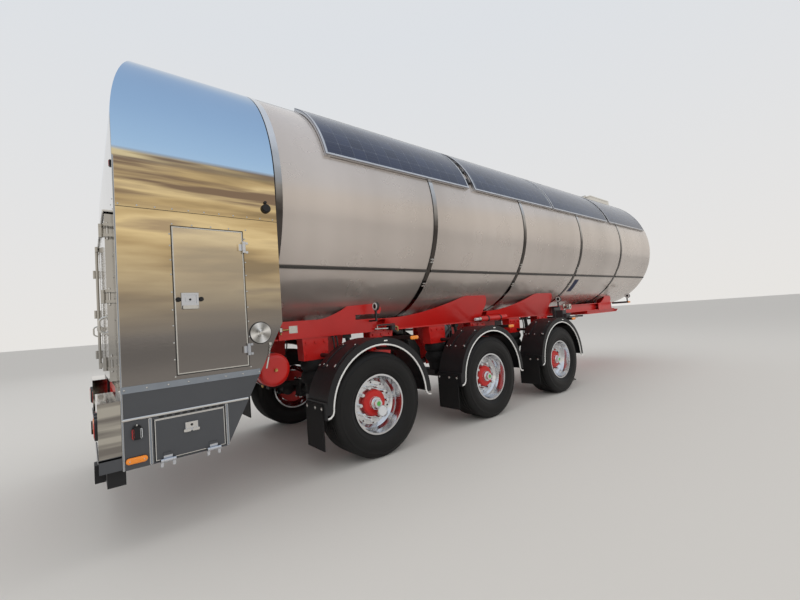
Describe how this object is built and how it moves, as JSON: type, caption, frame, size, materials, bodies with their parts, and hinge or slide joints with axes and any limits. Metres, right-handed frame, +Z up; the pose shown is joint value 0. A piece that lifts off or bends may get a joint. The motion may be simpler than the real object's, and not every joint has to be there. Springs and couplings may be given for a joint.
{
  "type": "tank semi-trailer",
  "caption": "Tank semi-trailer with a round tank, rear equipment cabinet, roof solar panels, mudguards and landing legs.",
  "frame": {"origin": "on the ground under the middle of the vehicle's outline", "axes": "+X forwards along the vehicle, +Y to its left, +Z up"},
  "size_m": [10.5, 2.586, 3.937],
  "materials": {
    "tyre_rubber": "matt black rubber",
    "polished_aluminium": "mirror polished",
    "red_paint": "gloss signal red",
    "black_paint": "satin black",
    "bright_steel": "turned bright",
    "leg_paint": "satin dark grey",
    "bellows_rubber": "matt black",
    "black_plastic": "fine grained black",
    "tank_skin": "gloss silver beige",
    "polished_steel": "mirror polished stainless",
    "dark_trim": "satin dark",
    "carrier_aluminium": "mill finish",
    "solar_film": "navy cells under clear film",
    "pump_paint": "satin grey",
    "red_lens": "red lens",
    "orange_lens": "orange lens"
  },
  "bodies": {
    "trailer": {"air_reservoirs": "red_paint", "air_springs": "bellows_rubber", "axle_beams": "black_paint", "cabinet_shell": "polished_steel", "coupler_plate": "red_paint", "crossmembers": "red_paint", "frame_rails": "red_paint", "kingpin": "bright_steel", "lamp_arms": "black_paint", "leg_housings": "leg_paint", "manhole_box": "polished_steel", "mud_flaps": "bellows_rubber", "mudguard_stays": "black_paint", "mudguards": "black_plastic", "port_caps": "bright_steel", "pump_unit": "pump_paint", "rear_bumper": "black_plastic", "rear_lamp_boxes": "polished_steel", "rear_subframe": "red_paint", "reservoir_straps": "black_paint", "roof_walkway": "carrier_aluminium", "saddles": "red_paint", "side_lamps": "orange_lens", "side_strips": "dark_trim", "solar_carriers": "carrier_aluminium", "solar_panels": "solar_film", "suspension_brackets": "red_paint", "tail_lamps": "red_lens", "tank_bands": "polished_steel", "tank_shell": "tank_skin"},
    "wheel_rear_left": {"tyre_rear_left": "tyre_rubber", "rim_rear_left": "polished_aluminium", "hub_rear_left": "red_paint"},
    "wheel_rear_right": {"tyre_rear_right": "tyre_rubber", "rim_rear_right": "polished_aluminium", "hub_rear_right": "red_paint"},
    "wheel_middle_left": {"tyre_middle_left": "tyre_rubber", "rim_middle_left": "polished_aluminium", "hub_middle_left": "red_paint"},
    "wheel_middle_right": {"tyre_middle_right": "tyre_rubber", "rim_middle_right": "polished_aluminium", "hub_middle_right": "red_paint"},
    "wheel_front_left": {"tyre_front_left": "tyre_rubber", "rim_front_left": "polished_aluminium", "hub_front_left": "red_paint"},
    "wheel_front_right": {"tyre_front_right": "tyre_rubber", "rim_front_right": "polished_aluminium", "hub_front_right": "red_paint"},
    "side_door_left": {"side_door_left": "polished_steel"},
    "tool_hatch_left": {"tool_hatch_left": "polished_steel"},
    "rear_door_left": {"rear_door_left": "polished_steel"},
    "side_door_right": {"side_door_right": "polished_steel"},
    "tool_hatch_right": {"tool_hatch_right": "polished_steel"},
    "rear_door_right": {"rear_door_right": "polished_steel"},
    "manhole_box_lid": {"manhole_box_lid": "polished_steel"},
    "manhole_lid_rear": {"manhole_lid_rear": "polished_steel"},
    "manhole_lid_middle": {"manhole_lid_middle": "polished_steel"},
    "leg_left": {"leg_left": "leg_paint"},
    "leg_right": {"leg_right": "leg_paint"}
  },
  "joints": [
    {"name": "wheel_rear_left_roll", "type": "hinge", "parent": "trailer", "child": "wheel_rear_left", "pos_m": [-3, 1.02, 0.524], "axis": [0, 1, 0], "continuous": true},
    {"name": "wheel_rear_right_roll", "type": "hinge", "parent": "trailer", "child": "wheel_rear_right", "pos_m": [-3, -1.02, 0.524], "axis": [0, 1, 0], "continuous": true},
    {"name": "wheel_middle_left_roll", "type": "hinge", "parent": "trailer", "child": "wheel_middle_left", "pos_m": [-1.19, 1.02, 0.524], "axis": [0, 1, 0], "continuous": true},
    {"name": "wheel_middle_right_roll", "type": "hinge", "parent": "trailer", "child": "wheel_middle_right", "pos_m": [-1.19, -1.02, 0.524], "axis": [0, 1, 0], "continuous": true},
    {"name": "wheel_front_left_roll", "type": "hinge", "parent": "trailer", "child": "wheel_front_left", "pos_m": [0.62, 1.02, 0.524], "axis": [0, 1, 0], "continuous": true},
    {"name": "wheel_front_right_roll", "type": "hinge", "parent": "trailer", "child": "wheel_front_right", "pos_m": [0.62, -1.02, 0.524], "axis": [0, 1, 0], "continuous": true},
    {"name": "side_door_left_hinge", "type": "hinge", "parent": "trailer", "child": "side_door_left", "pos_m": [-4.287, 1.279, 1.6185], "axis": [0, 0, -1], "range_deg": [0, 120]},
    {"name": "tool_hatch_left_hinge", "type": "hinge", "parent": "trailer", "child": "tool_hatch_left", "pos_m": [-4.71, 1.279, 0.532], "axis": [-1, 0, 0], "range_deg": [0, 100]},
    {"name": "rear_door_left_hinge", "type": "hinge", "parent": "trailer", "child": "rear_door_left", "pos_m": [-5.174, 1.123, 1.66], "axis": [0, 0, -1], "range_deg": [0, 180]},
    {"name": "side_door_right_hinge", "type": "hinge", "parent": "trailer", "child": "side_door_right", "pos_m": [-4.287, -1.279, 1.6185], "axis": [0, 0, 1], "range_deg": [0, 120]},
    {"name": "tool_hatch_right_hinge", "type": "hinge", "parent": "trailer", "child": "tool_hatch_right", "pos_m": [-4.71, -1.279, 0.532], "axis": [1, 0, 0], "range_deg": [0, 100]},
    {"name": "rear_door_right_hinge", "type": "hinge", "parent": "trailer", "child": "rear_door_right", "pos_m": [-5.174, -1.123, 1.66], "axis": [0, 0, 1], "range_deg": [0, 180]},
    {"name": "manhole_box_lid_hinge", "type": "hinge", "parent": "trailer", "child": "manhole_box_lid", "pos_m": [3.897, 0, 3.922], "axis": [0, -1, 0], "range_deg": [0, 100]},
    {"name": "manhole_lid_rear_hinge", "type": "hinge", "parent": "trailer", "child": "manhole_lid_rear", "pos_m": [-1.593, 0, 3.923], "axis": [0, -1, 0], "range_deg": [0, 150]},
    {"name": "manhole_lid_middle_hinge", "type": "hinge", "parent": "trailer", "child": "manhole_lid_middle", "pos_m": [1.707, 0, 3.923], "axis": [0, -1, 0], "range_deg": [0, 150]},
    {"name": "leg_left_slide", "type": "slide", "parent": "trailer", "child": "leg_left", "axis": [0, 0, 1], "range_m": [0, 0.4]},
    {"name": "leg_right_slide", "type": "slide", "parent": "trailer", "child": "leg_right", "axis": [0, 0, 1], "range_m": [0, 0.4]}
  ],
  "couplings": [
    {"joint": "leg_right_slide", "follows": "leg_left_slide", "ratio": 1}
  ]
}
